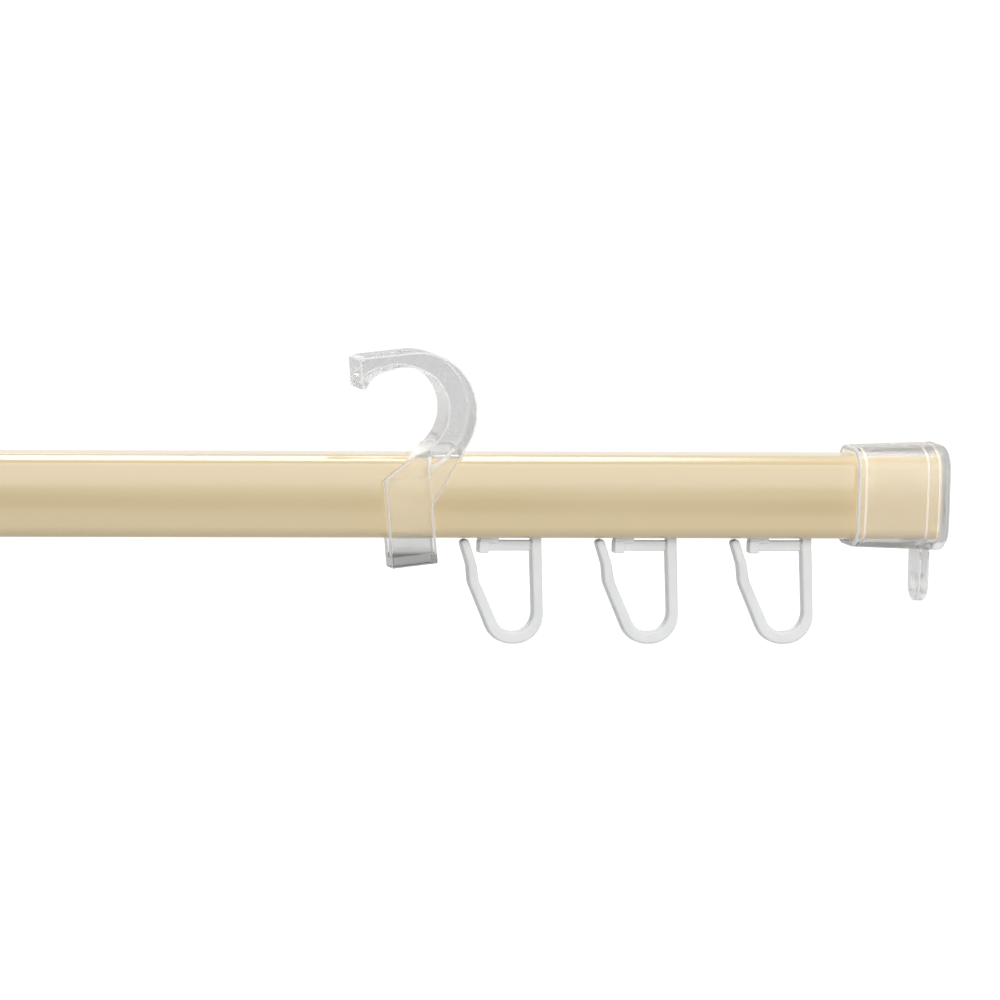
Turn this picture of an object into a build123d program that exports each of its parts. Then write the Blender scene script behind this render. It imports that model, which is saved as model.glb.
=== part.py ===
from build123d import *
import os
from math import asin, atan2, cos, radians, sin, sqrt

# Curtain track that hangs by two clear hooks from the round arms of a wall bracket.
# +X runs along the track, +Z is up and -Y is its front face.
# The origin is the centre of the right hook's bore, halfway through the hook.

# Rail
track_length = 500.0  # over both end caps
rail_height = 20.0
rail_depth = 14.0
rail_crown = 0.5  # how far the front and back faces bulge
rail_corner_r = 2.8
rail_wall = 1.1
web_wall = 1.0  # floor of the closed chamber, above the channel
channel_height = 4.6
slot_width = 4.0

# End cap
cap_length = 23.2
cap_wall = 1.8
cap_flare = 0.8  # how much further out the sleeve is at its closed end
cap_end_wall = 2.0
cap_clearance = 0.1  # all round the rail
cap_end_fillet = 1.7
cap_mouth_chamfer = 0.8
tab_width = 9.0  # the ear that takes the curtain's last hook
tab_thickness = 2.6
tab_drop = 13.4  # from the underside of the cap's mouth to the ear's lowest point
tab_hole_r = 2.1
tab_setback = 3.4  # from the cap's outer face to the ear

# Hook bracket, seen from the front
arm_bore_r = 10.5  # takes a 20 mm arm
hook_depth = 10.0
hook_outer_r = 14.8
hook_outer_shift = (2.9, -0.5)  # centre of the outer curve from the bore's
hook_web = 1.0  # how thick the hook is in front of the rail
hook_edge_fillet = 0.35
tip_top = (-10.5, 12.9)
tip_left = (-12.0, 12.2)
tip_foot_left = (-11.2, 5.0)
tip_flare_angle = 135.0  # where the bore starts to flare towards the tip
tip_flare_length = 3.4
neck_left_x = 2.8
neck_right_x = 15.4
clip_lean = 6.9  # degrees, the clip leans to the left at its top
clip_width = 11.3
clip_height = 21.2
clip_left_x = -2.4  # lower left corner of the clip
clip_gusset_rise = 13.0  # how far up the clip's right side the hook's web meets it
clip_foot_gap = 4.5  # from the rail's underside to the foot
clip_foot_wall = 2.4
clip_wall = 2.0
clip_finger_wall = 2.0
clip_finger_setback = 1.6  # from the rail's front to the finger that carries it
finger_trim = 1.0  # the finger is made this much too long, and the rail's outline trims it
strap_width = 7.0  # strap over the rail's top, to the right of the arm
strap_wall = 2.0
strap_drop = 6.0  # how far the strap reaches down behind the rail
rail_gap = 0.1  # between bracket and rail
end_to_hook = 136.6  # from a cap's outer face to the nearer bore's axis

# Glider, moulded in one piece with its curtain hook. Places are from the leg's middle and the rail's underside.
gliders_per_end = 3
glider_pitch = 33.8
cap_to_glider = 10.2  # from a cap's mouth to the leg of the nearest glider
body_thickness = 3.0
leg_width = 2.4
leg_spread = 1.4  # how far the leg leans out by the loop's lowest point
loop_drop = 25.7
loop_wall = 2.3
loop_bend_r = 6.8
loop_inner_r = 4.6
loop_low_left = 9.9  # where the loop's floor turns up into the open arm, outside
loop_low_inner = 8.9
arm_low_left = 16.7  # the arm's outer side, from low to high
arm_low_drop = 11.0
arm_high_left = 17.2
arm_high_drop = 6.8
arm_tip_left = 19.1
arm_tip_drop = 1.2
arm_tip_inner = 17.4  # the arm's inner side, from high to low
arm_tip_inner_drop = 0.7
arm_high_inner = 15.2
arm_high_inner_drop = 6.6
arm_low_inner = 14.6
arm_low_inner_drop = 10.6
arm_bend_r = 5.0
arm_tip_r = 0.8
bar_gap = 0.9
bar_height = 2.5
bar_length = 14.3  # from the leg's middle to the end of the small block
block_width = 2.4
block_height = 3.0
head_width = 8.0
head_height = 1.8
head_clearance = 0.25  # between the head and the slot's lips
neck_length = 4.8
glider_edge_fillet = 0.55

# Places worked out from the sizes above
rail_top = -(arm_bore_r + rail_gap)
rail_bottom = rail_top - rail_height
rail_middle = rail_top - rail_height / 2
right_end = end_to_hook
left_end = right_end - track_length
track_middle = (right_end + left_end) / 2
rail_length = track_length - 2 * cap_end_wall
hook_front = -hook_depth / 2
rail_front = hook_front + hook_web + rail_gap
rail_y = rail_front + rail_depth / 2
rail_back = rail_front + rail_depth
rail_center = (rail_y, rail_middle)  # on the plane across the track
hook_spacing = track_length - 2 * end_to_hook

os.makedirs("parts", exist_ok=True)


def rail_outline(grow):
    """The rail's rounded outline, grown all round, as a sketch for the plane across the track."""
    half_height = rail_height / 2 + grow
    half_depth = rail_depth / 2 + grow
    flat_half = half_depth - rail_crown
    with BuildSketch(mode=Mode.PRIVATE) as outline:
        with BuildLine():
            front = ThreePointArc((-flat_half, half_height), (-half_depth, 0), (-flat_half, -half_height))
            back = ThreePointArc((flat_half, -half_height), (half_depth, 0), (flat_half, half_height))
            Line(front @ 1, back @ 0)
            Line(back @ 1, front @ 0)
        make_face()
        fillet(outline.vertices(), rail_corner_r + grow)
    return outline.sketch


# Rail: a closed chamber above an open channel with a slot along its underside
with BuildPart() as rail:
    with BuildSketch(Plane.YZ.offset(left_end + cap_end_wall)):
        with Locations(rail_center):
            add(rail_outline(0))
            add(rail_outline(-rail_wall), mode=Mode.SUBTRACT)
        inner_depth = rail_depth - rail_wall
        web_z = rail_bottom + rail_wall + channel_height + web_wall / 2
        with Locations((rail_y, web_z)):
            Rectangle(inner_depth, web_wall)
        with Locations((rail_y, rail_bottom + rail_wall / 2)):
            Rectangle(slot_width, 2 * rail_wall, mode=Mode.SUBTRACT)
    extrude(amount=rail_length)
rail.part.label = "rail"
export_step(rail.part, "parts/rail.step")


# End cap: a sleeve that flares a little to its closed outer end, with an ear below it
with BuildPart() as end_cap_right:
    mouth_x = right_end - cap_length
    with BuildSketch(Plane.YZ.offset(mouth_x)):
        with Locations(rail_center):
            add(rail_outline(cap_clearance + cap_wall))
    with BuildSketch(Plane.YZ.offset(right_end)):
        with Locations(rail_center):
            add(rail_outline(cap_clearance + cap_wall + cap_flare))
    loft()
    fillet(end_cap_right.faces().sort_by(Axis.X)[-1].edges(), cap_end_fillet)
    with BuildSketch(Plane.YZ.offset(mouth_x)):
        with Locations(rail_center):
            add(rail_outline(cap_clearance))
    extrude(amount=cap_length - cap_end_wall, mode=Mode.SUBTRACT)
    mouth_edges = end_cap_right.faces().sort_by(Axis.X)[0].inner_wires()[0].edges()
    chamfer(mouth_edges, cap_mouth_chamfer)
    cap_underside = rail_bottom - cap_clearance - cap_wall
    tab_eye_z = cap_underside - tab_drop + tab_width / 2
    with BuildSketch(Plane.YZ.offset(right_end - tab_setback - tab_thickness)):
        with Locations((rail_y, tab_eye_z)):
            Circle(tab_width / 2)
        with Locations((rail_y, (tab_eye_z + cap_underside + cap_wall / 2) / 2)):
            Rectangle(tab_width, cap_underside + cap_wall / 2 - tab_eye_z)
        with Locations((rail_y, tab_eye_z)):
            Circle(tab_hole_r, mode=Mode.SUBTRACT)
    extrude(amount=tab_thickness)
end_cap_right.part.label = "end_cap_right"
export_step(end_cap_right.part, "parts/end_cap_right.step")

with BuildPart() as end_cap_left:
    add(end_cap_right.part.mirror(Plane.YZ.offset(track_middle)))
end_cap_left.part.label = "end_cap_left"
export_step(end_cap_left.part, "parts/end_cap_left.step")


# Hook bracket: an open hook over the arm, a front clip with a turned-up foot, and a rear strap
outer_x, outer_z = hook_outer_shift
tip_run = Vector(outer_x - tip_top[0], outer_z - tip_top[1])
tangent_length = sqrt(tip_run.length**2 - hook_outer_r**2)
tangent_angle = atan2(tip_run.Y, tip_run.X) + asin(hook_outer_r / tip_run.length)
outer_start = (
    tip_top[0] + tangent_length * cos(tangent_angle),
    tip_top[1] + tangent_length * sin(tangent_angle),
)
outer_end = (neck_right_x, outer_z - sqrt(hook_outer_r**2 - (neck_right_x - outer_x) ** 2))
outer_middle = (outer_x + hook_outer_r, outer_z)
bore_end = (neck_left_x, -sqrt(arm_bore_r**2 - neck_left_x**2))
flare = radians(tip_flare_angle)
bore_start = (arm_bore_r * cos(flare), arm_bore_r * sin(flare))
flare_end = (
    bore_start[0] - tip_flare_length * sin(flare),
    bore_start[1] + tip_flare_length * cos(flare),
)
lean = radians(clip_lean)
clip_low = rail_bottom - clip_foot_gap - clip_foot_wall
clip_top_left = (clip_left_x - clip_height * sin(lean), clip_low + clip_height * cos(lean))
gusset_low = (
    clip_left_x + clip_width * cos(lean) - clip_gusset_rise * sin(lean),
    clip_low + clip_width * sin(lean) + clip_gusset_rise * cos(lean),
)

with BuildPart() as hook_right:
    with BuildSketch(Plane.XZ.offset(-hook_front)):
        with BuildLine():
            Line(tip_top, outer_start)
            ThreePointArc(outer_start, outer_middle, outer_end)
            Polyline(outer_end, gusset_low, clip_top_left, bore_end)
            ThreePointArc(bore_end, (arm_bore_r, 0), bore_start)
            Polyline(bore_start, flare_end, tip_foot_left, tip_left, tip_top)
        make_face()
    extrude(amount=-hook_depth)
    fillet(hook_right.faces().sort_by(Axis.Y)[0].edges(), hook_edge_fillet)
    with BuildSketch(Plane.YZ.offset(neck_right_x - strap_width)):
        strap_back = rail_back + rail_gap + strap_wall
        with Locations((hook_depth / 2, rail_top + rail_gap + strap_wall)):
            Rectangle(
                strap_back - hook_depth / 2, strap_wall + strap_drop, align=(Align.MIN, Align.MAX)
            )
    extrude(amount=strap_width - hook_edge_fillet)
    clip_plane = Plane(
        origin=(clip_left_x, hook_front - hook_web, clip_low),
        x_dir=(0, 1, 0),
        z_dir=(cos(lean), 0, sin(lean)),
    )
    finger_back = hook_web + hook_web + rail_gap + clip_finger_setback + clip_finger_wall
    with BuildSketch(clip_plane):
        Rectangle(clip_wall, clip_height, align=(Align.MIN, Align.MIN))
        Rectangle(finger_back, clip_foot_wall, align=(Align.MIN, Align.MIN))
        with Locations((finger_back, 0)):
            Rectangle(
                clip_finger_wall, clip_foot_wall + clip_foot_gap + finger_trim,
                align=(Align.MAX, Align.MIN),
            )
    extrude(amount=clip_width)
    with BuildSketch(Plane.YZ.offset(-2 * hook_outer_r)):
        with Locations(rail_center):
            add(rail_outline(rail_gap))
    extrude(amount=4 * hook_outer_r, mode=Mode.SUBTRACT)
hook_right.part.label = "hook_right"
export_step(hook_right.part, "parts/hook_right.step")

with BuildPart() as hook_left:
    add(hook_right.part.moved(Location((-hook_spacing, 0, 0))))
hook_left.part.label = "hook_left"
export_step(hook_left.part, "parts/hook_left.step")


# Glider: a head that runs in the channel, two necks through the slot, a bar and an open loop
bar_top = rail_bottom - bar_gap
head_bottom = rail_bottom + rail_wall + head_clearance
half_leg = leg_width / 2
loop_low = rail_bottom - loop_drop
with BuildPart() as glider:
    with BuildSketch(Plane.XZ.offset(-rail_y + body_thickness / 2)):
        with BuildLine():
            FilletPolyline(
                (half_leg, bar_top),
                (half_leg + leg_spread, loop_low),
                (-loop_low_left, loop_low),
                (-arm_low_left, rail_bottom - arm_low_drop),
                (-arm_high_left, rail_bottom - arm_high_drop),
                (-arm_tip_left, rail_bottom - arm_tip_drop),
                (-arm_tip_inner, rail_bottom - arm_tip_inner_drop),
                (-arm_high_inner, rail_bottom - arm_high_inner_drop),
                (-arm_low_inner, rail_bottom - arm_low_inner_drop),
                (-loop_low_inner, loop_low + loop_wall),
                (-half_leg + leg_spread, loop_low + loop_wall),
                (-half_leg, bar_top),
                close=True,
                radius=[
                    0, loop_bend_r, loop_bend_r, arm_bend_r, arm_bend_r, arm_tip_r,
                    arm_tip_r, arm_bend_r, arm_bend_r, loop_inner_r, loop_inner_r, 0,
                ],
            )
        make_face()
    extrude(amount=-body_thickness)
    fillet(glider.faces().filter_by(Axis.Y).edges(), glider_edge_fillet)
    with Locations((half_leg, rail_y, bar_top)):
        Box(bar_length + half_leg, body_thickness, bar_height, align=(Align.MAX, Align.CENTER, Align.MAX))
    with Locations((-bar_length, rail_y, bar_top)):
        Box(block_width, body_thickness, block_height, align=(Align.MIN, Align.CENTER, Align.MAX))
        Box(
            neck_length, body_thickness, head_bottom - bar_top,
            align=(Align.MIN, Align.CENTER, Align.MIN),
        )
    with Locations((0, rail_y, bar_top)):
        Box(leg_width, body_thickness, head_bottom - bar_top, align=(Align.CENTER, Align.CENTER, Align.MIN))
    with Locations((half_leg, rail_y, head_bottom)):
        Box(
            bar_length + half_leg, head_width, head_height,
            align=(Align.MAX, Align.CENTER, Align.MIN),
        )

left_mouth = left_end + cap_length
first_leg = mouth_x - cap_to_glider
last_leg = left_mouth + cap_to_glider + arm_tip_left
glider_places = [first_leg - i * glider_pitch for i in range(gliders_per_end)]
glider_places += [last_leg + i * glider_pitch for i in reversed(range(gliders_per_end))]
for number, place in enumerate(glider_places, start=1):
    with BuildPart() as placed_glider:
        add(glider.part.moved(Location((place, 0, 0))))
    placed_glider.part.label = f"glider_{number}"
    export_step(placed_glider.part, f"parts/glider_{number}.step")
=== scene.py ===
from math import cos, radians, sin

import bmesh
import bpy
import numpy as np
from mathutils import Matrix, Vector
from mathutils.geometry import tessellate_polygon


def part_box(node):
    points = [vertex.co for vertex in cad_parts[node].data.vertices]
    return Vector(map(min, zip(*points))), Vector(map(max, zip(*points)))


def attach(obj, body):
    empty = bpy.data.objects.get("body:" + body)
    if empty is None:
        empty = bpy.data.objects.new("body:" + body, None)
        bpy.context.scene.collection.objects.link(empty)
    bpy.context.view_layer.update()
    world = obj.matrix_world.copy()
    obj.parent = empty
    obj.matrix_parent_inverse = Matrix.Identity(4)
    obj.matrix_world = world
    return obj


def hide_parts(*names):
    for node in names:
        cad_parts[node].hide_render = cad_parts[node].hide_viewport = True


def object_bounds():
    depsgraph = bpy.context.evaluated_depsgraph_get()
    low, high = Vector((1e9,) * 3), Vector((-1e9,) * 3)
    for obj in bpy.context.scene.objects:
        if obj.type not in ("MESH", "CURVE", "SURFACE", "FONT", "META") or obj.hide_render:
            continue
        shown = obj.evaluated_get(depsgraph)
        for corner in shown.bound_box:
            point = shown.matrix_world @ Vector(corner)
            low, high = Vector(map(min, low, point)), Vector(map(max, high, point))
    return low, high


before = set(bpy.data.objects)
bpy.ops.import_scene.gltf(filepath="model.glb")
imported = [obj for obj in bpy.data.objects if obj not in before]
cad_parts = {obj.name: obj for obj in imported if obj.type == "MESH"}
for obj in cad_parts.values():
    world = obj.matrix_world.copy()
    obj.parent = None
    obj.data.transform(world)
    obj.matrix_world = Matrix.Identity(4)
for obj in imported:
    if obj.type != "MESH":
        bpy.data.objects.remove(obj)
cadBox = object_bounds()
mm = 0.001
print("frame loaded,", len(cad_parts), "nodes")


# Outlines. Each is a closed loop of points in the plane, in millimetres.

def roundedLoop(corners, radii, steps=9):
    # each corner becomes an arc: its centre lies on the corner's bisector at radius / sin(half angle)
    corner = np.array(corners, float)
    radius = np.broadcast_to(np.array(radii, float), len(corner))[:, None]
    back = np.roll(corner, 1, axis=0) - corner
    ahead = np.roll(corner, -1, axis=0) - corner
    back /= np.linalg.norm(back, axis=1, keepdims=True)
    ahead /= np.linalg.norm(ahead, axis=1, keepdims=True)
    half = np.arccos(np.clip((back * ahead).sum(axis=1, keepdims=True), -1, 1)) / 2
    bisector = (back + ahead) / np.linalg.norm(back + ahead, axis=1, keepdims=True)
    centre = corner + bisector * radius / np.sin(half)
    start = corner + back * radius / np.tan(half) - centre
    end = corner + ahead * radius / np.tan(half) - centre
    turn = (np.pi - 2 * half)[:, :, None]
    share = np.linspace(0, 1, steps)[None, :, None]
    arc = (start[:, None] * np.sin((1 - share) * turn) + end[:, None] * np.sin(share * turn)) / np.sin(turn)
    loop = (centre[:, None] + arc).reshape(-1, 2)
    step = np.linalg.norm(loop - np.roll(loop, 1, axis=0), axis=1)
    return loop[step > 1e-5]


def evenly(loop, count):
    # the same closed line with its points at equal steps of length
    closed = np.vstack([loop, loop[:1]])
    length = np.append(0, np.cumsum(np.linalg.norm(np.diff(closed, axis=0), axis=1)))
    at = np.linspace(0, length[-1], count, endpoint=False)
    return np.stack([np.interp(at, length, closed[:, 0]), np.interp(at, length, closed[:, 1])], axis=1)


def denser(loop, longest):
    # every span longer than the limit is cut into equal shorter ones, and the corners stay
    ahead = np.roll(loop, -1, axis=0)
    pieces = np.ceil(np.linalg.norm(ahead - loop, axis=1) / longest).astype(int).clip(1)
    owner = np.repeat(np.arange(len(loop)), pieces)
    first = np.repeat(np.cumsum(pieces) - pieces, pieces)
    share = ((np.arange(len(owner)) - first) / pieces[owner])[:, None]
    return loop[owner] * (1 - share) + ahead[owner] * share


def inset(loop, amount):
    # moves every point inwards along the loop's normal, further at a corner so that the sides move evenly
    area = np.sum(loop[:, 0] * np.roll(loop[:, 1], -1) - loop[:, 1] * np.roll(loop[:, 0], -1))
    into = loop - np.roll(loop, 1, axis=0)
    out = np.roll(loop, -1, axis=0) - loop
    into /= np.linalg.norm(into, axis=1, keepdims=True)
    out /= np.linalg.norm(out, axis=1, keepdims=True)
    middle = into + out
    middle /= np.linalg.norm(middle, axis=1, keepdims=True)
    reach = 1 / np.sqrt(np.clip((1 + (into * out).sum(axis=1, keepdims=True)) / 2, 0.3, 1))
    normal = np.stack([-middle[:, 1], middle[:, 0]], axis=1) * np.sign(area)
    return loop + normal * reach * amount


# Meshes

def newPiece(name, points, faces, smoothAngle=32):
    mesh = bpy.data.meshes.new(name)
    mesh.from_pydata((np.asarray(points).reshape(-1, 3) * mm).tolist(), [], faces)
    mesh.update()
    mesh.polygons.foreach_set("use_smooth", [True] * len(mesh.polygons))
    mesh.set_sharp_from_angle(angle=radians(smoothAngle))
    piece = bpy.data.objects.new(name, mesh)
    bpy.context.collection.objects.link(piece)
    return piece


def skin(rings, joinEnds=False):
    # quads between neighbouring rings of equal length; the ends are closed by one face each, or joined
    rows, count = rings.shape[:2]
    index = np.arange(rows * count).reshape(rows, count)
    lower, upper = (index, np.roll(index, -1, axis=0)) if joinEnds else (index[:-1], index[1:])
    beside, above = np.roll(lower, -1, axis=1), np.roll(upper, -1, axis=1)
    faces = np.stack([lower, beside, above, upper], axis=-1).reshape(-1, 4).tolist()
    if not joinEnds:
        faces += [index[0, ::-1].tolist(), index[-1].tolist()]
    return faces


def facedOut(piece):
    # turns the faces outwards by the sign of the closed mesh's volume
    mesh = piece.data
    mesh.calc_loop_triangles()
    corner = np.empty(len(mesh.loop_triangles) * 3, np.int32)
    mesh.loop_triangles.foreach_get("vertices", corner)
    point = np.empty(len(mesh.vertices) * 3)
    mesh.vertices.foreach_get("co", point)
    a, b, c = point.reshape(-1, 3)[corner.reshape(-1, 3)].transpose(1, 0, 2)
    if np.sum(a * np.cross(b, c)) < 0:
        mesh.flip_normals()
    return piece


def slab(name, loop, place, depth, edge, steps=5):
    # a plate with the loop's outline and rounded rims: a quarter circle of insets at each face
    turn = np.linspace(0, np.pi / 2, steps)
    rim = np.stack([edge * (1 - np.sin(turn)), edge * (1 - np.cos(turn))], axis=1)
    profile = np.vstack([rim, (rim * (1, -1) + (0, depth))[::-1]])
    rings = np.stack([place(inset(loop, away), np.full(len(loop), at)) for away, at in profile])
    return facedOut(newPiece(name, rings, skin(rings)))


def acrossTrack(flat, along):
    return np.stack([along, flat[:, 0], flat[:, 1]], axis=1)


def facingFront(front):
    def place(flat, back):
        return np.stack([flat[:, 0], front + back, flat[:, 1]], axis=1)
    return place


def combined(piece, other, operation):
    # an exact boolean, applied to the mesh, after which the other piece goes
    change = piece.modifiers.new("combine", "BOOLEAN")
    change.operation = operation
    change.solver = "EXACT"
    change.object = other
    bpy.context.view_layer.update()
    result = bpy.data.meshes.new_from_object(piece.evaluated_get(bpy.context.evaluated_depsgraph_get()))
    piece.modifiers.clear()
    piece.data = result
    bpy.data.objects.remove(other)
    return piece


def sharpened(piece, smoothAngle):
    # smooth shading with crisp edges, where flat faces stay flat up to their rounded rims
    mesh = piece.data
    mesh.polygons.foreach_set("use_smooth", [True] * len(mesh.polygons))
    mesh.set_sharp_from_angle(angle=radians(smoothAngle))
    flat = piece.modifiers.new("flatFaces", "WEIGHTED_NORMAL")
    flat.keep_sharp = True
    flat.weight = 80
    return piece


def rimsMarked(piece, largest=0.14):
    # faces smaller than this many square millimetres make up the rounded rims and beads
    area = np.empty(len(piece.data.polygons))
    piece.data.polygons.foreach_get("area", area)
    mark = piece.data.attributes.new("rim", "FLOAT", "FACE")
    mark.data.foreach_set("value", (area < largest * mm ** 2).astype(np.float32))
    return piece


def placedCopy(piece, name, place):
    copy = piece.copy()
    copy.name = name
    copy.data = piece.data.copy()
    copy.data.transform(place)
    bpy.context.collection.objects.link(copy)
    return copy


def shiftedCopy(piece, name, x):
    return placedCopy(piece, name, Matrix.Translation((x * mm, 0, 0)))


# Materials

def newMaterial(name):
    material = bpy.data.materials.new(name)
    material.use_nodes = True
    tree = material.node_tree
    return material, tree, tree.nodes["Principled BSDF"], tree.nodes["Material Output"]


def noiseOn(tree, scale, detail, stretch=(1, 1, 1)):
    where = tree.nodes.new("ShaderNodeTexCoord")
    mapping = tree.nodes.new("ShaderNodeMapping")
    mapping.inputs["Scale"].default_value = stretch
    noise = tree.nodes.new("ShaderNodeTexNoise")
    noise.inputs["Scale"].default_value = scale
    noise.inputs["Detail"].default_value = detail
    tree.links.new(where.outputs["Object"], mapping.inputs["Vector"])
    tree.links.new(mapping.outputs["Vector"], noise.inputs["Vector"])
    return noise.outputs["Fac"]


def bumpFrom(tree, height, strength, distance):
    bump = tree.nodes.new("ShaderNodeBump")
    bump.inputs["Strength"].default_value = strength
    bump.inputs["Distance"].default_value = distance
    tree.links.new(height, bump.inputs["Height"])
    return bump.outputs["Normal"]


def rampBetween(tree, factor, low, high, lowAt=0.3, highAt=0.7):
    ramp = tree.nodes.new("ShaderNodeValToRGB")
    ramp.color_ramp.elements[0].position = lowAt
    ramp.color_ramp.elements[1].position = highAt
    ramp.color_ramp.elements[0].color = (*low, 1)
    ramp.color_ramp.elements[1].color = (*high, 1)
    tree.links.new(factor, ramp.inputs["Fac"])
    return ramp.outputs["Color"]


def spreadBetween(tree, factor, low, high, fromLow=0.3, fromHigh=0.7):
    spread = tree.nodes.new("ShaderNodeMapRange")
    spread.inputs["From Min"].default_value = fromLow
    spread.inputs["From Max"].default_value = fromHigh
    spread.inputs["To Min"].default_value = low
    spread.inputs["To Max"].default_value = high
    tree.links.new(factor, spread.inputs["Value"])
    return spread.outputs["Result"]


def worked(tree, operation, first, second=0.0):
    # one sum on sockets or plain numbers
    node = tree.nodes.new("ShaderNodeMath")
    node.operation = operation
    for socket, value in zip(node.inputs, (first, second)):
        if isinstance(value, (int, float)):
            socket.default_value = value
        else:
            tree.links.new(value, socket)
    return node.outputs[0]


def splitUp(tree, vector):
    parts = tree.nodes.new("ShaderNodeSeparateXYZ")
    tree.links.new(vector, parts.inputs[0])
    return parts.outputs


enamel = {
    "paleCream": (0.672, 0.540, 0.325),
    "deepCream": (0.650, 0.520, 0.305),
    "cloudScale": 45,
    "peelScale": 900,
    "peelHeight": 0.00001,
    "roughLow": 0.10,
    "roughHigh": 0.15,
    "specular": 0.65,
    "coat": 0.12,
    "coatRoughness": 0.04,
}


def makeEnamel(look):
    material, tree, shader, output = newMaterial("creamEnamel")
    cloud = noiseOn(tree, look["cloudScale"], 3, (0.3, 1, 1))
    tree.links.new(rampBetween(tree, cloud, look["deepCream"], look["paleCream"]), shader.inputs["Base Color"])
    tree.links.new(spreadBetween(tree, cloud, look["roughLow"], look["roughHigh"]), shader.inputs["Roughness"])
    peel = noiseOn(tree, look["peelScale"], 2)
    tree.links.new(bumpFrom(tree, peel, 0.12, look["peelHeight"]), shader.inputs["Normal"])
    shader.inputs["Specular IOR Level"].default_value = look["specular"]
    shader.inputs["Coat Weight"].default_value = look["coat"]
    shader.inputs["Coat Roughness"].default_value = look["coatRoughness"]
    return material


hookPlastic = {
    "tint": (0.93, 0.93, 0.925),
    "ior": 1.32,
    "roughLow": 0.04,
    "roughHigh": 0.14,
    "flowScale": 260,
    "flowHeight": 0.00008,
    "milkGrey": (0.48, 0.485, 0.49),
    # painted highlight: the pale white of rims and side faces, and how much of it shows
    "highlightWhite": (0.97, 0.97, 0.97),
    # painted shade: the dark grey of the clip's foot, and how much of it shows
    "footPaintedShade": (0.20, 0.195, 0.19),
    "polishedShare": 0.10,
    "grainedShare": 0.32,
    "polishedWithin": 0.0115,
    "grainedBeyond": 0.0140,
    "mottle": 0.16,
    "rimHighlightShare": 0.92,
    "sideHighlightShare": 0.55,
    "footShadeShare": 0.48,
    "smoke": (0.30, 0.30, 0.31),
    "smokeDensity": 14,
    "shadowShare": 0.88,
}
# the caps are the same plastic, a little smokier and less mottled
capPlastic = {
    **hookPlastic,
    "tint": (0.92, 0.92, 0.915),
    "milkGrey": (0.57, 0.57, 0.57),
    "polishedShare": 0.13,
    "polishedWithin": 0.0095,
    "grainedBeyond": 0.0125,
    "mottle": 0.10,
    "smokeDensity": 20,
    "shadowShare": 0.86,
}


def blendedColour(tree, factor, first, second):
    blend = tree.nodes.new("ShaderNodeMix")
    blend.data_type = "RGBA"
    tree.links.new(factor, blend.inputs["Factor"])
    for socket, colour in zip((blend.inputs[6], blend.inputs[7]), (first, second)):
        if isinstance(colour, tuple):
            socket.default_value = (*colour, 1)
        else:
            tree.links.new(colour, socket)
    return blend.outputs[2]


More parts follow.
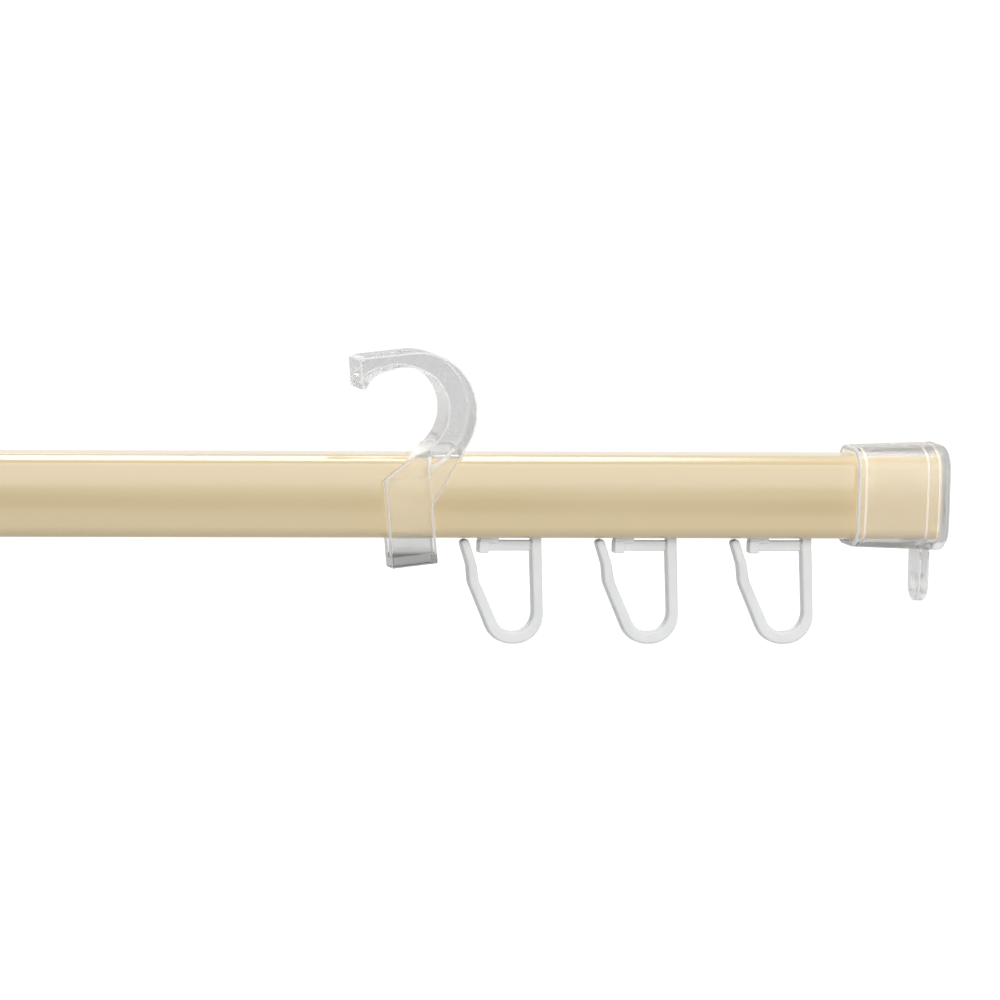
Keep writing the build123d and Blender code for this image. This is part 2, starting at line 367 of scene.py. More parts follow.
def makeClearPlastic(look, name, paintedShadeTop=None):
    material, tree, shader, output = newMaterial(name)
    shader.inputs["Base Color"].default_value = (*look["tint"], 1)
    shader.inputs["Transmission Weight"].default_value = 1
    shader.inputs["IOR"].default_value = look["ior"]
    flow = noiseOn(tree, look["flowScale"], 3, (1, 1, 0.5))
    tree.links.new(spreadBetween(tree, flow, look["roughLow"], look["roughHigh"]), shader.inputs["Roughness"])
    tree.links.new(bumpFrom(tree, flow, 0.25, look["flowHeight"]), shader.inputs["Normal"])
    # the moulding is polished over the track and finely grained, so milkier, above and below it
    where = tree.nodes.new("ShaderNodeTexCoord")
    height = splitUp(tree, where.outputs["Object"])["Z"]
    away = worked(tree, "ABSOLUTE", worked(tree, "SUBTRACT", height, float(trackMiddle * mm)))
    grained = spreadBetween(tree, away, look["polishedShare"], look["grainedShare"],
                            look["polishedWithin"], look["grainedBeyond"])
    mottled = worked(tree, "MULTIPLY_ADD", flow, look["mottle"])
    tree.links.new(grained, mottled.node.inputs[2])
    # painted highlight: rounded rims and side faces facing along X are painted pale white, standing in for the
    # light they catch
    rim = tree.nodes.new("ShaderNodeAttribute")
    rim.attribute_name = "rim"
    surface = tree.nodes.new("ShaderNodeNewGeometry")
    sideways = worked(tree, "ABSOLUTE", splitUp(tree, surface.outputs["Normal"])["X"])
    side = spreadBetween(tree, sideways, 0, look["sideHighlightShare"], 0.7, 0.95)
    pale = worked(tree, "MAXIMUM", worked(tree, "MULTIPLY", rim.outputs["Fac"], look["rimHighlightShare"]), side)
    colour = blendedColour(tree, pale, look["milkGrey"], look["highlightWhite"])
    share = worked(tree, "MAXIMUM", mottled, pale)
    if paintedShadeTop is not None:
        # painted shade: below this height the foot is painted dark grey, standing in for the shaded underside
        # of the track seen through it
        paintedShadeInFoot = worked(tree, "MULTIPLY", worked(tree, "LESS_THAN", height, paintedShadeTop * mm),
                        worked(tree, "LESS_THAN", sideways, 0.5))
        colour = blendedColour(tree, paintedShadeInFoot, colour, look["footPaintedShade"])
        share = worked(tree, "MAXIMUM", share, worked(tree, "MULTIPLY", paintedShadeInFoot, look["footShadeShare"]))
    milk = tree.nodes.new("ShaderNodeMixShader")
    for place, kind in ((1, "ShaderNodeBsdfDiffuse"), (2, "ShaderNodeBsdfTranslucent")):
        scatter = tree.nodes.new(kind)
        tree.links.new(colour, scatter.inputs["Color"])
        tree.links.new(scatter.outputs["BSDF"], milk.inputs[place])
    cloudy = tree.nodes.new("ShaderNodeMixShader")
    tree.links.new(share, cloudy.inputs["Fac"])
    tree.links.new(shader.outputs["BSDF"], cloudy.inputs[1])
    tree.links.new(milk.outputs["Shader"], cloudy.inputs[2])
    through = tree.nodes.new("ShaderNodeBsdfTransparent")
    through.inputs["Color"].default_value = (look["shadowShare"],) * 3 + (1,)
    rays = tree.nodes.new("ShaderNodeLightPath")
    mix = tree.nodes.new("ShaderNodeMixShader")
    tree.links.new(rays.outputs["Is Shadow Ray"], mix.inputs["Fac"])
    tree.links.new(cloudy.outputs["Shader"], mix.inputs[1])
    tree.links.new(through.outputs["BSDF"], mix.inputs[2])
    tree.links.new(mix.outputs["Shader"], output.inputs["Surface"])
    smoke = tree.nodes.new("ShaderNodeVolumeAbsorption")
    smoke.inputs["Color"].default_value = (*look["smoke"], 1)
    smoke.inputs["Density"].default_value = look["smokeDensity"]
    tree.links.new(smoke.outputs["Volume"], output.inputs["Volume"])
    return material


whiteNylon = {
    "pale": (0.81, 0.82, 0.82),
    "grey": (0.75, 0.76, 0.765),
    "cloudScale": 140,
    "grainScale": 1600,
    "grainHeight": 0.00003,
    "roughLow": 0.28,
    "roughHigh": 0.42,
    "glow": 0.35,
    "glowDepth": 0.0012,
}


def makeWhiteNylon(look):
    material, tree, shader, output = newMaterial("whiteNylon")
    cloud = noiseOn(tree, look["cloudScale"], 3)
    tree.links.new(rampBetween(tree, cloud, look["grey"], look["pale"]), shader.inputs["Base Color"])
    tree.links.new(spreadBetween(tree, cloud, look["roughLow"], look["roughHigh"]), shader.inputs["Roughness"])
    grain = noiseOn(tree, look["grainScale"], 2)
    tree.links.new(bumpFrom(tree, grain, 0.2, look["grainHeight"]), shader.inputs["Normal"])
    shader.inputs["Subsurface Weight"].default_value = look["glow"]
    shader.inputs["Subsurface Radius"].default_value = (1, 1, 1)
    shader.inputs["Subsurface Scale"].default_value = look["glowDepth"]
    return material


def nodeBox(node):
    # the CAD node's lowest and highest corners in millimetres
    return (np.array(corner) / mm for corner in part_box(node))


trackLow, trackHigh = nodeBox("rail")
trackMiddle = (trackLow[2] + trackHigh[2]) / 2
# the clip's foot: its gap below the track, its wall, and how far above its floor the foot's painted shade
# reaches
clipFoot = {"gap": 4.5, "wall": 2.4, "paintedShadeRise": 1.2}
footLow = trackLow[2] - clipFoot["gap"] - clipFoot["wall"]
paintedShadeHeight = footLow + clipFoot["wall"] + clipFoot["paintedShadeRise"]
enamelMaterial = makeEnamel(enamel)
capMaterial = makeClearPlastic(capPlastic, "capMoulding")
hookMaterial = makeClearPlastic(hookPlastic, "hookMoulding", float(paintedShadeHeight))
nylonMaterial = makeWhiteNylon(whiteNylon)
print("materials made")


# The rail: its section is a chamber over an open channel, carried along X

track = {
    "y": (trackLow[1] + trackHigh[1]) / 2,
    "middle": trackMiddle,
    "height": trackHigh[2] - trackLow[2],
    "depth": trackHigh[1] - trackLow[1],
    "crown": 0.5,
    "cornerR": 2.8,
    "wall": 1.1,
    "webWall": 1.0,
    "channelHeight": 4.6,
    "slotWidth": 4.0,
    "lipR": 0.45,
    "left": trackLow[0],
    "right": trackHigh[0],
    "spans": 62,
}


def trackOutline(grow, count=192):
    # a rounded rectangle whose front and back bulge: depth grows by crown * (1 - (z / half height)^2)
    halfHeight = track["height"] / 2 + grow
    flatHalf = track["depth"] / 2 + grow - track["crown"]
    corners = np.array([(1, -1), (1, 1), (-1, 1), (-1, -1)]) * (flatHalf, halfHeight)
    rounded = roundedLoop(corners, max(track["cornerR"] + grow, 0.3), 15)
    loop = evenly(np.vstack([[(0, -halfHeight)], rounded]), count)
    bulge = 1 + track["crown"] / flatHalf * (1 - (loop[:, 1] / halfHeight) ** 2)
    return loop * np.stack([bulge, np.ones(count)], axis=1)


def onTrack(loop):
    return loop + (track["y"], track["middle"])


def railSection():
    # outer skin from one slot edge round to the other, a rolled lip, the channel's walls, and the second lip
    halfHeight = track["height"] / 2
    lipR = track["lipR"]
    lipY = track["slotWidth"] / 2 + lipR
    lipHalf = track["wall"] / 2
    outside = trackOutline(0, 260)
    outside = outside[(np.abs(outside[:, 0]) > lipY) | (outside[:, 1] > 0)]
    inside = trackOutline(-track["wall"], 240)
    webLow = track["wall"] + track["channelHeight"] - halfHeight
    channel = inside[(inside[:, 1] < webLow) & (np.abs(inside[:, 0]) > lipY)]
    leftSide, rightSide = channel[channel[:, 0] < 0][::-1], channel[channel[:, 0] > 0][::-1]
    turn = np.linspace(0, np.pi, 9)
    leftLip = np.stack([-lipY + lipR * np.sin(turn), lipHalf - halfHeight - lipHalf * np.cos(turn)], axis=1)
    rightLip = leftLip[::-1] * (-1, 1)
    web = np.linspace(leftSide[-1], rightSide[0], 26)[1:-1]
    web[:, 1] = webLow
    chamber = inside[inside[:, 1] > webLow + track["webWall"]]
    return np.vstack([outside, leftLip, leftSide, web, rightSide, rightLip]), chamber


def makeRail():
    section, chamber = (onTrack(loop) for loop in railSection())
    along = np.linspace(track["left"], track["right"], track["spans"] + 1)
    points, faces, start = [], [], 0
    for loop in (section, chamber):
        rings = np.stack([acrossTrack(loop, np.full(len(loop), x)) for x in along])
        faces += [[corner + start for corner in face] for face in skin(rings)[:-2]]
        points.append(rings.reshape(-1, 3))
        start += len(along) * len(loop)
    # the two ends: triangles over the section with the chamber left open
    loops = [[Vector((*point, 0)) for point in loop] for loop in (section, chamber)]
    triangles = np.array(tessellate_polygon(loops))
    inSection = triangles < len(section)
    nearEnd = triangles + np.where(inSection, 0, len(section) * (len(along) - 1))
    farEnd = nearEnd + np.where(inSection, len(section), len(chamber)) * (len(along) - 1)
    faces += nearEnd.tolist() + farEnd[:, ::-1].tolist()
    return newPiece("railBody", np.vstack(points), faces, 40)


def withNormalsOut(piece):
    # the walls and the ends are worked out apart, so their faces are turned to agree
    build = bmesh.new()
    build.from_mesh(piece.data)
    bmesh.ops.recalc_face_normals(build, faces=build.faces)
    build.to_mesh(piece.data)
    build.free()
    return sharpened(piece, 40)


rail = withNormalsOut(makeRail())
print("rail made,", len(rail.data.polygons), "faces")


# End caps: a sleeve worked out as rings along X, and an ear with a hole

capLow, capHigh = nodeBox("end_cap_right")
leftCapLow, _ = nodeBox("end_cap_left")
endCap = {
    "outerFace": capHigh[0],
    "length": capHigh[0] - capLow[0],
    "wall": 1.8,
    "flare": 0.8,
    "endWall": 2.0,
    "clearance": 0.1,
    "endFillet": 1.7,
    "innerFillet": 0.7,
    "leadIn": 0.4,
    "leadInLength": 2.1,
    "leadInBend": (0.45, 0.62),  # where it bends: shares of its length and of its widening
    "mouthR": 0.5,
    # painted highlight lines on the inner wall: their places from the mouth, and the rows of each
    "highlightLineAt": (2.15, 17.6),
    "highlightLineRows": (0, 0.25, 0.5),
    "mirrorPlane": (capHigh[0] + leftCapLow[0]) / 2,
}
ear = {
    "width": 9.0,
    "thickness": 2.6,
    "drop": 13.4,
    "holeR": 2.1,
    "setback": 3.4,
    "edge": 0.45,
    "holeEdge": 0.3,
    "root": 1.2,
}


def quarter(steps=7):
    turn = np.linspace(0, np.pi / 2, steps)
    return np.stack([np.sin(turn), np.cos(turn)], axis=1)


def makeSleeve():
    # rings at (x from the mouth, growth of the track's outline): inner end, inner wall, mouth, outer wall, end,
    # where the outer wall's growth rises by the flare in proportion to x
    length, gap, wall, flare = endCap["length"], endCap["clearance"], endCap["wall"], endCap["flare"]
    innerEnd, inner = length - endCap["endWall"], endCap["innerFillet"]
    mouth, fillet, lead = endCap["mouthR"], endCap["endFillet"], endCap["leadIn"]
    leadLength, (bendAt, bendOut) = endCap["leadInLength"], endCap["leadInBend"]
    bend = quarter()
    innerCorner = np.stack([innerEnd - inner + inner * bend[:, 0], gap - inner + inner * bend[:, 1]], axis=1)
    leadIn = [(leadLength, gap), (leadLength * bendAt, gap + lead * bendOut), (mouth, gap + lead)]
    innerLip = np.stack([mouth - mouth * bend[:, 0], gap + lead + mouth * (1 - bend[:, 1])], axis=1)[1:]
    outerLip = np.stack([mouth - mouth * bend[:, 1], gap + wall - mouth + mouth * bend[:, 0]], axis=1)
    wallRun = [(x, gap + wall + flare * x / length) for x in np.linspace(mouth, length - fillet, 12)[1:-1]]
    wide = gap + wall + flare
    endCorner = np.stack([length - fillet + fillet * bend[:, 0], wide - fillet + fillet * bend[:, 1]], axis=1)
    # painted highlight lines: narrow flat rows of faces on the inner wall, small enough to take the rim mark
    # and so be painted pale
    paleLineStops = [x + aside for x in endCap["highlightLineAt"] for aside in endCap["highlightLineRows"]]
    runStops = np.sort(np.append(np.linspace(innerEnd - inner, leadLength, 8)[1:-1], paleLineStops))[::-1]
    innerRun = np.stack([runStops, np.full(len(runStops), gap)], axis=1)
    profile = np.vstack([innerCorner[::-1], innerRun, leadIn, innerLip, outerLip, wallRun, endCorner])
    mouthX = endCap["outerFace"] - length
    loops = [onTrack(trackOutline(grow)) for grow in profile[:, 1]]
    rings = np.stack([acrossTrack(loop, np.full(len(loop), mouthX + x))
                      for loop, x in zip(loops, profile[:, 0])])
    return facedOut(newPiece("endCapRight", rings, skin(rings), 28))


def earLoop(count=96):
    # distance from the eye's centre at each angle: the circle below, and the straight sides and root above
    half = ear["width"] / 2
    angle = np.linspace(0, 2 * np.pi, count, endpoint=False)
    rise = ear["drop"] - half + ear["root"]
    side = half / np.maximum(np.abs(np.cos(angle)), 1e-6)
    top = rise / np.maximum(np.sin(angle), 1e-6)
    reach = np.where(np.sin(angle) > 0, np.minimum(side, top), half)
    return np.stack([np.cos(angle), np.sin(angle)], axis=1), reach[:, None]


def makeEar():
    # rings round the section of the ear's frame: over one face, round the rim, back, and through the hole
    compass, reach = earLoop()
    half, edge, hole = ear["thickness"] / 2, ear["edge"], ear["holeEdge"]
    bend = quarter(5)
    rim = [(reach - edge + edge * b, half - edge + edge * a) for b, a in bend]
    rim += [(reach - edge + edge * b, edge * -a - half + edge) for b, a in bend[::-1]]
    bore = [(ear["holeR"] + hole - hole * b, -half + hole - hole * a) for b, a in bend]
    bore += [(ear["holeR"] + hole - hole * b, half - hole + hole * a) for b, a in bend[::-1]]
    capUnderside = track["middle"] - track["height"] / 2 - endCap["clearance"] - endCap["wall"]
    eye = (track["y"], capUnderside - ear["drop"] + ear["width"] / 2)
    middleX = endCap["outerFace"] - ear["setback"] - half
    rings = np.stack([acrossTrack(compass * r + eye, np.full(len(compass), middleX + x))
                      for r, x in rim + bore])
    return facedOut(newPiece("ear", rings, skin(rings, joinEnds=True)))


rightCap = sharpened(rimsMarked(combined(makeSleeve(), makeEar(), "UNION")), 28)


def mirroredCopy(piece, name, about):
    copy = placedCopy(piece, name, Matrix.Translation((2 * about * mm, 0, 0)) @ Matrix.Scale(-1, 4, (1, 0, 0)))
    copy.data.flip_normals()
    return copy


leftCap = mirroredCopy(rightCap, "endCapLeft", endCap["mirrorPlane"])
print("end caps made,", len(rightCap.data.polygons), "faces each")


# Hooks: a slab in the shape of the open hook, a clip in front of the track and a strap behind it

hook = {
    "boreR": 10.5,
    "depth": 10.0,
    "outerR": 14.8,
    "outerShift": (2.9, -0.5),
    "tipTop": (-10.5, 12.9),
    "tipLeft": (-12.0, 12.2),
    "tipFoot": (-11.2, 5.0),
    "flareAngle": 112.0,
    "flareEnd": (-10.0, 5.4),
    "flareR": 7.0,
    "neckLeft": 2.8,
    "neckRight": 15.4,
    "edge": 0.4,
    "spacing": (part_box("hook_right")[1].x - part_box("hook_left")[1].x) / mm,
}
clip = {
    "lean": 6.9,
    "width": 11.3,
    "height": 21.2,
    "left": -2.4,
    "footGap": clipFoot["gap"],
    "footWall": clipFoot["wall"],
    "wall": 1.98,
    "fingerWall": 2.0,
    "fingerBack": 5.7,
    "fingerRise": 1.2,
    "proud": 1.0,
    "gussetRise": 13.0,
    "edge": 0.3,
    "cornerR": (0.5, 0.45, 0.45, 0.4, 0.4, 0.4, 0.4, 0.6),
}
strap = {
    "width": 6.65,
    "wall": 2.0,
    "drop": 6.0,
    "edge": 0.35,
    "gap": 0.1,
    "front": 2.0,
    "sink": 1.0,  # how far it reaches into the track's space, which is cut away last
    "cornerR": (0.45, 0.45, 1.6, 0.5, 0.45, 0.5),
}
# the ring's outer line runs on over the gusset as a raised bead, and a second one goes down to the clip
bead = {
    "radius": 14.9,
    "from": -68.0,
    "to": -36.0,
    "width": 0.9,
    "proud": 0.35,
    "edge": 0.4,
    "inside": 0.13,
    "top": (6.1, -10.6),
}


def arcPoints(centre, radius, fromAngle, toAngle, count):
    turn = np.linspace(fromAngle, toAngle, count)
    return np.stack([centre[0] + radius * np.cos(turn), centre[1] + radius * np.sin(turn)], axis=1)


def arcBetween(start, end, radius, count):
    # the centre lies left of the way, on the chord's bisector, at the root of radius^2 - (chord / 2)^2
    chord = end - start
    length = np.hypot(*chord)
    left = np.array([-chord[1], chord[0]]) / length
    centre = (start + end) / 2 + left * np.sqrt(radius ** 2 - length ** 2 / 4)
    angles = [np.arctan2(*(point - centre)[::-1]) for point in (start, end)]
    return arcPoints(centre, radius, *angles, count)


def clipFrame():
    lean = radians(clip["lean"])
    low = track["middle"] - track["height"] / 2 - clip["footGap"] - clip["footWall"]
    corner = np.array([clip["left"], low])
    return corner, np.array([cos(lean), sin(lean)]), np.array([-sin(lean), cos(lean)])


def hookOutline():
    # outer circle from its tangent through the tip, down to the neck, past the clip, back up round the bore,
    # and along a tighter arc to the tip's foot
    centre, radius = np.array(hook["outerShift"]), hook["outerR"]
    run = centre - hook["tipTop"]
    rise = np.arctan2(run[1], run[0]) + np.arcsin(radius / np.hypot(*run))
    startAngle = rise + np.pi / 2
    endAngle = -np.arccos((hook["neckRight"] - centre[0]) / radius)
    outer = arcPoints(centre, radius, startAngle, endAngle, 64)
    corner, across, up = clipFrame()
    gusset = corner + across * clip["width"] + up * clip["gussetRise"]
    clipTop = corner + up * clip["height"]
    boreEnd = -np.arccos(hook["neckLeft"] / hook["boreR"])
    flare = radians(hook["flareAngle"])
    bore = arcPoints((0, 0), hook["boreR"], boreEnd, flare, 80)
    flareArc = arcBetween(bore[-1], np.array(hook["flareEnd"]), hook["flareR"], 17)
    tip = roundedLoop([*flareArc[-2:], hook["tipFoot"], hook["tipLeft"], hook["tipTop"], outer[0]],
                      [0.01, 0.5, 0.5, 0.5, 0.7, 0.01], 6)[6:-6]
    return denser(np.vstack([outer, [gusset, clipTop], bore, flareArc[1:-1], tip]), 0.8)


def clipPlace(flat, along):
    corner, across, up = clipFrame()
    inFront = corner + flat[:, 1:] * up + along[:, None] * across
    front = -hook["depth"] / 2 - clip["proud"]
    return np.stack([inFront[:, 0], front + flat[:, 0], inFront[:, 1]], axis=1)


def makeBeads():
    # the arc between two radii about the bore, and the straight one from its top to the clip's top corner
    half = bead["width"] / 2
    ends = radians(bead["from"]), radians(bead["to"])
    arc = np.vstack([arcPoints((0, 0), bead["radius"] + half, *ends, 20),
                     arcPoints((0, 0), bead["radius"] - half, *ends[::-1], 20)])
    corner, across, up = clipFrame()
    low = corner + across * (clip["width"] - half - bead["inside"]) + up * (clip["height"] - 1)
    top = np.array(bead["top"])
    line = np.array([low - across * half, low + across * half, top + across * half, top - across * half])
    front = -hook["depth"] / 2 - bead["proud"]
    return [slab(name, denser(loop, 0.55), facingFront(front), 2 * bead["proud"] + bead["edge"], bead["edge"])
            for name, loop in (("arcBead", arc), ("lineBead", line))]


def makeHook():
    body = slab("hookRight", hookOutline(), facingFront(-hook["depth"] / 2), hook["depth"], hook["edge"])
    wall, height, foot, back = clip["wall"], clip["height"], clip["footWall"], clip["fingerBack"]
    finger = back - clip["fingerWall"]
    reach = foot + clip["footGap"] + clip["fingerRise"]
    outline = roundedLoop([(0, 0), (0, height), (wall, height), (wall, foot), (finger, foot), (finger, reach),
                           (back, reach), (back, 0)], clip["cornerR"], 6)
    clipPiece = slab("clip", denser(outline, 0.8), clipPlace, clip["width"], clip["edge"])
    trackTop = track["middle"] + track["height"] / 2 + strap["gap"]
    trackBack = track["y"] + track["depth"] / 2 + strap["gap"]
    over, behind = trackTop + strap["wall"], trackBack + strap["wall"]
    low = over - strap["wall"] - strap["drop"]
    front, inner, under = strap["front"], trackBack - strap["sink"], trackTop - strap["sink"]
    strapLoop = roundedLoop([(front, under), (front, over), (behind, over), (behind, low), (inner, low),
                             (inner, under)], strap["cornerR"], 8)
    start = hook["neckRight"] - hook["edge"] - strap["width"]

    def strapPlace(flat, along):
        return acrossTrack(flat, start + along)
    strapPiece = slab("strap", denser(strapLoop, 0.9), strapPlace, strap["width"], strap["edge"])
    envelope = onTrack(trackOutline(strap["gap"]))
    reachX = 2 * hook["outerR"]
    rings = np.stack([acrossTrack(envelope, np.full(len(envelope), x)) for x in (-reachX, reachX)])
    cutter = facedOut(newPiece("trackSpace", rings, skin(rings)))
    for piece in makeBeads() + [clipPiece, strapPiece]:
        body = combined(body, piece, "UNION")
    return sharpened(rimsMarked(combined(body, cutter, "DIFFERENCE")), 30)


rightHook = makeHook()
leftHook = shiftedCopy(rightHook, "hookLeft", -hook["spacing"])
print("hooks made,", len(rightHook.data.polygons), "faces each")


# Gliders: an open loop with a bar, a small block, two necks and a head in the channel

glider = {
    "thickness": 3.0,
    "legWidth": 2.4,
    "legSpread": 1.4,
    "drop": 25.7,
    "wall": 2.95,
    "legInside": 0.25,
    "loopLeft": (9.9, 8.1),
    "armOuter": ((16.6, 11.0), (17.1, 6.8), (19.1, 1.0)),
    "armInner": ((17.1, 0.4), (14.8, 6.6), (14.05, 10.6)),
    "bendR": 6.8,
    "innerR": 4.6,
    "armR": 5.0,
    "tipR": 0.85,
    "edge": 0.6,
    "barGap": 0.9,
    "barHeight": 2.5,
    "barLength": 14.3,
    "barSetback": (0.9, 0.25),
    "blockWidth": 2.4,
    "blockHeight": 3.0,
    "neckLength": 4.8,
    "neckSink": 0.6,
    "rightNeckSink": 1.5,
    "leftNeckStep": 0.1,
    "faceStep": 0.05,  # keeps faces that would meet in one plane apart
    "headWidth": 8.0,
    "headHeight": 1.8,
    "headClearance": 0.25,
    "count": 6,
}
underside = trackLow[2]


def brick(name, x, y, z, edge):
    # a block between the given limits, rounded at every edge
    loop = denser(roundedLoop([(x[0], z[0]), (x[1], z[0]), (x[1], z[1]), (x[0], z[1])], edge + 0.06, 5), 1.5)
    return slab(name, loop, facingFront(y[0]), y[1] - y[0], edge)


def gliderLoop():
    # the leg, the loop's floor and the open arm as one outline from the track's underside
    half, low, wall, spread = glider["legWidth"] / 2, -glider["drop"], glider["wall"], glider["legSpread"]
    outerLeft, innerLeft = glider["loopLeft"]
    barTop = -glider["barGap"]
    arm = [(-left, -drop) for left, drop in glider["armOuter"] + glider["armInner"]]
    corners = [(half, barTop), (half + spread, low), (-outerLeft, low), *arm,
               (-innerLeft, low + wall), (-half - glider["legInside"] + spread, low + wall),
               (-half - glider["legInside"], barTop)]
    bend, inner, armR, tipR = glider["bendR"], glider["innerR"], glider["armR"], glider["tipR"]
    radii = [0.8, bend, bend, armR, armR, tipR, tipR, armR, armR, inner, inner, 0.8]
    return roundedLoop(corners, radii, 12) + (0, underside)


def makeGlider():
    half = glider["legWidth"] / 2
    middle, deep = track["y"], glider["thickness"] / 2
    body = slab("glider", denser(gliderLoop(), 0.8), facingFront(middle - deep), 2 * deep, glider["edge"], 7)
    end = -glider["barLength"]
    top, headLow = underside - glider["barGap"], underside + track["wall"] + glider["headClearance"]
    front, back = middle - deep, middle + deep
    headSides = (middle - glider["headWidth"] / 2, middle + glider["headWidth"] / 2)
    inFront, behind = glider["barSetback"]
    step, leftStep, sink = glider["faceStep"], glider["leftNeckStep"], glider["neckSink"]
    neckTop = headLow + sink
    bricks = [
        brick("bar", (end, half), (front + inFront, back - behind), (top - glider["barHeight"], top), 0.35),
        brick("block", (end - step, end + glider["blockWidth"]), (front, back),
              (top - glider["blockHeight"], top + step), 0.3),
        brick("leftNeck", (end + leftStep, end + glider["neckLength"]), (front + leftStep, back - leftStep),
              (top - sink, neckTop), 0.25),
        brick("rightNeck", (-half + step, half - step), (front + step, back - step),
              (top - glider["rightNeckSink"], neckTop), 0.3),
        brick("head", (end, half), headSides, (headLow, headLow + glider["headHeight"]), 0.4),
    ]
    for piece in bricks:
        body = combined(body, piece, "UNION")
    return sharpened(body, 35)


pattern = makeGlider()
rightReach = gliderLoop()[:, 0].max()
gliders = []
for number in range(1, glider["count"] + 1):
    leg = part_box(f"glider_{number}")[1].x / mm - rightReach
    gliders.append(shiftedCopy(pattern, f"glider{number}", leg))
bpy.data.objects.remove(pattern)
print("gliders made,", len(gliders[0].data.polygons), "faces each")


def finished(piece, body, node, material):
    piece.data.materials.clear()
    piece.data.materials.append(material)
    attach(piece, body)
    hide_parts(node)


finished(rail, "track", "rail", enamelMaterial)
finished(rightCap, "track", "end_cap_right", capMaterial)
finished(leftCap, "track", "end_cap_left", capMaterial)
finished(rightHook, "track", "hook_right", hookMaterial)
finished(leftHook, "track", "hook_left", hookMaterial)
for number, piece in enumerate(gliders, start=1):
    finished(piece, f"glider_{number}", f"glider_{number}", nylonMaterial)


# Camera and light

shot = {
    "azimuth": 17.0,
    "elevation": 6.0,
    "roll": 0.14,
    "distance": 6.0,
    "pixelsPerMm": 4.2,
    "boreAt": (400.7, 409.8),
    "picture": 1000,
    "sensor": 36,
}


def placeCamera():
    azimuth, elevation = radians(shot["azimuth"]), radians(shot["elevation"])
    ahead = Vector((sin(azimuth) * cos(elevation), cos(azimuth) * cos(elevation), -sin(elevation)))
    lens = bpy.data.cameras.new("photoCamera")
    lens.sensor_width = shot["sensor"]
    widthSeen = shot["picture"] / shot["pixelsPerMm"] * mm
    lens.lens = shot["sensor"] * shot["distance"] / widthSeen
    lens.clip_end = 50
    camera = bpy.data.objects.new("photoCamera", lens)
    bpy.context.collection.objects.link(camera)
    # the track is all but level in the picture, so the camera's right is close to the track's direction
    level = (Vector((1, 0, 0)) - ahead * ahead.x).normalized()
    roll = radians(shot["roll"])
    right = level * cos(roll) + level.cross(ahead) * sin(roll)
    up = right.cross(ahead)
    # the bore's centre, which is the origin, shows at boreAt
    aside, below = (shot["picture"] / 2 - at for at in shot["boreAt"])
    target = (right * aside - up * below) / shot["pixelsPerMm"] * mm
    turn = Matrix((right, up, -ahead)).transposed().to_4x4()
    camera.matrix_world = Matrix.Translation(target - ahead * shot["distance"]) @ turn
    bpy.context.scene.camera = camera


studio = {
    "aim": (0.03, 0, -0.02),
    "fillLevel": 0.32,
    "floorDrop": 0.15,
    "floorHalf": 6.0,
    "floorPale": 0.50,
    "floorLiftFar": 0.86,
    "floorLiftNear": 0.50,
    "nearReach": 1.3,
    # name: (place, width and height, radiance)
    "panels": {
        "frontPanel": ((0.25, -1.70, 0.50), (2.4, 1.30), 2.4),
        "topPanel": ((0.30, 0.0, 1.25), (1.2, 0.34), 8.0),
        "backPanel": ((-0.30, 1.60, 0.80), (1.6, 0.8), 1.4),
    },
    "flag": {"place": (0.30, -0.90, -0.153), "size": (2.4, 0.072), "tilt": 5.0, "shade": 0.03},
}


def panel(name, place, size, radiance):
    # a soft lamp; its power is pi times its area times its radiance
    lamp = bpy.data.lights.new(name, "AREA")
    lamp.shape = "RECTANGLE"
    lamp.size, lamp.size_y = size
    lamp.energy = np.pi * size[0] * size[1] * radiance
    lampObject = bpy.data.objects.new(name, lamp)
    lampObject.location = place
    lampObject.rotation_euler = (Vector(studio["aim"]) - Vector(place)).to_track_quat("-Z", "Y").to_euler()
    lampObject.visible_camera = False
    bpy.context.collection.objects.link(lampObject)


def seenDirectly(tree):
    # 1 for rays from the camera, reflections and clear plastic, and 0 for light that falls on the object
    rays = tree.nodes.new("ShaderNodeLightPath")
    seen = rays.outputs["Is Camera Ray"]
    for other in ("Is Glossy Ray", "Is Transmission Ray"):
        seen = worked(tree, "MAXIMUM", seen, rays.outputs[other])
    return seen


def whiteRoom():
    world = bpy.data.worlds.new("whiteRoom")
    bpy.context.scene.world = world
    world.use_nodes = True
    tree = world.node_tree
    sky = tree.nodes["Background"]
    sky.inputs["Color"].default_value = (1, 1, 1, 1)
    strength = spreadBetween(tree, seenDirectly(tree), studio["fillLevel"], 1, 0, 1)
    tree.links.new(strength, sky.inputs["Strength"])


def stagePlane(name, corners):
    mesh = bpy.data.meshes.new(name)
    mesh.from_pydata(corners, [], [(0, 1, 2, 3)])
    plane = bpy.data.objects.new(name, mesh)
    bpy.context.collection.objects.link(plane)
    return plane


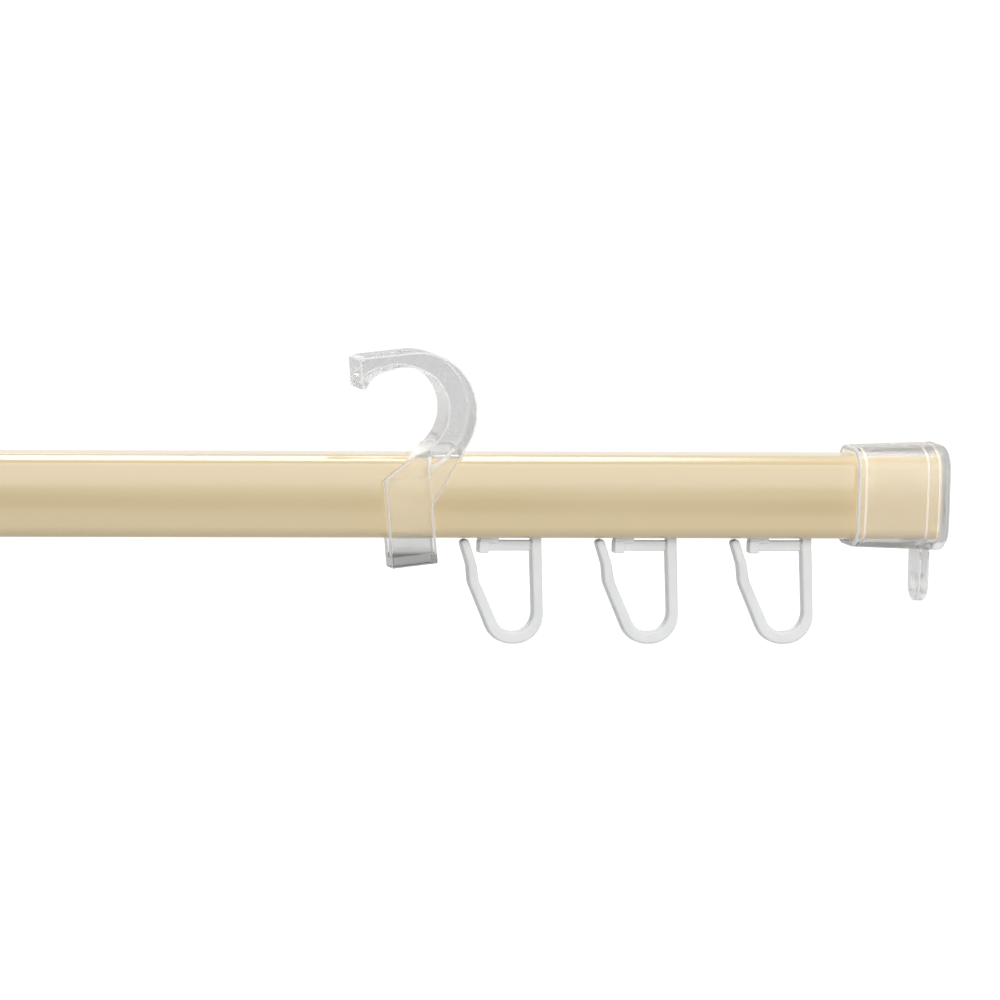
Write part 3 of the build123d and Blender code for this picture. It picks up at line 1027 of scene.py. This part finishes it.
def makeFloor():
    # a pale floor that reads white where no shadow falls on it
    depth = cadBox[0][2] - studio["floorDrop"]
    half = studio["floorHalf"]
    sides = ((-half, -half), (half, -half), (half, half), (-half, half))
    floor = stagePlane("floor", [(x, y, depth) for x, y in sides])
    material, tree, shader, output = newMaterial("paleFloor")
    shader.inputs["Base Color"].default_value = (studio["floorPale"],) * 3 + (1,)
    shader.inputs["Roughness"].default_value = 0.8
    shader.inputs["Specular IOR Level"].default_value = 0
    shader.inputs["Emission Color"].default_value = (1, 1, 1, 1)
    # the lamps light the floor near the object themselves, so it needs less of a lift there
    where = tree.nodes.new("ShaderNodeTexCoord")
    mapping = tree.nodes.new("ShaderNodeMapping")
    mapping.inputs["Location"].default_value = (0, 0, -depth / studio["nearReach"])
    mapping.inputs["Scale"].default_value = (1 / studio["nearReach"],) * 3
    nearness = tree.nodes.new("ShaderNodeTexGradient")
    nearness.gradient_type = "SPHERICAL"
    tree.links.new(where.outputs["Object"], mapping.inputs["Vector"])
    tree.links.new(mapping.outputs["Vector"], nearness.inputs["Vector"])
    lift = spreadBetween(tree, nearness.outputs["Fac"], studio["floorLiftFar"], studio["floorLiftNear"], 0, 1)
    tree.links.new(worked(tree, "MULTIPLY", lift, seenDirectly(tree)), shader.inputs["Emission Strength"])
    floor.data.materials.append(material)


def makeFlag():
    # a dark studio flag, off camera, which the glossy front of the track mirrors as its one dark line
    flag = studio["flag"]
    (x, y, z), (width, height) = flag["place"], flag["size"]
    left, right = x - width / 2, x + width / 2
    sink = width / 2 * sin(radians(flag["tilt"]))
    low, high = z - height / 2, z + height / 2
    card = stagePlane("flag", [(left, y, low + sink), (right, y, low - sink),
                               (right, y, high - sink), (left, y, high + sink)])
    material, tree, shader, output = newMaterial("darkFlag")
    shader.inputs["Base Color"].default_value = (flag["shade"],) * 3 + (1,)
    shader.inputs["Roughness"].default_value = 0.9
    card.data.materials.append(material)
    card.visible_camera = False
    card.visible_transmission = False
    card.visible_shadow = False


placeCamera()
whiteRoom()
makeFloor()
makeFlag()
for name, (place, size, radiance) in studio["panels"].items():
    panel(name, place, size, radiance)
bpy.context.scene.view_settings.view_transform = "Standard"
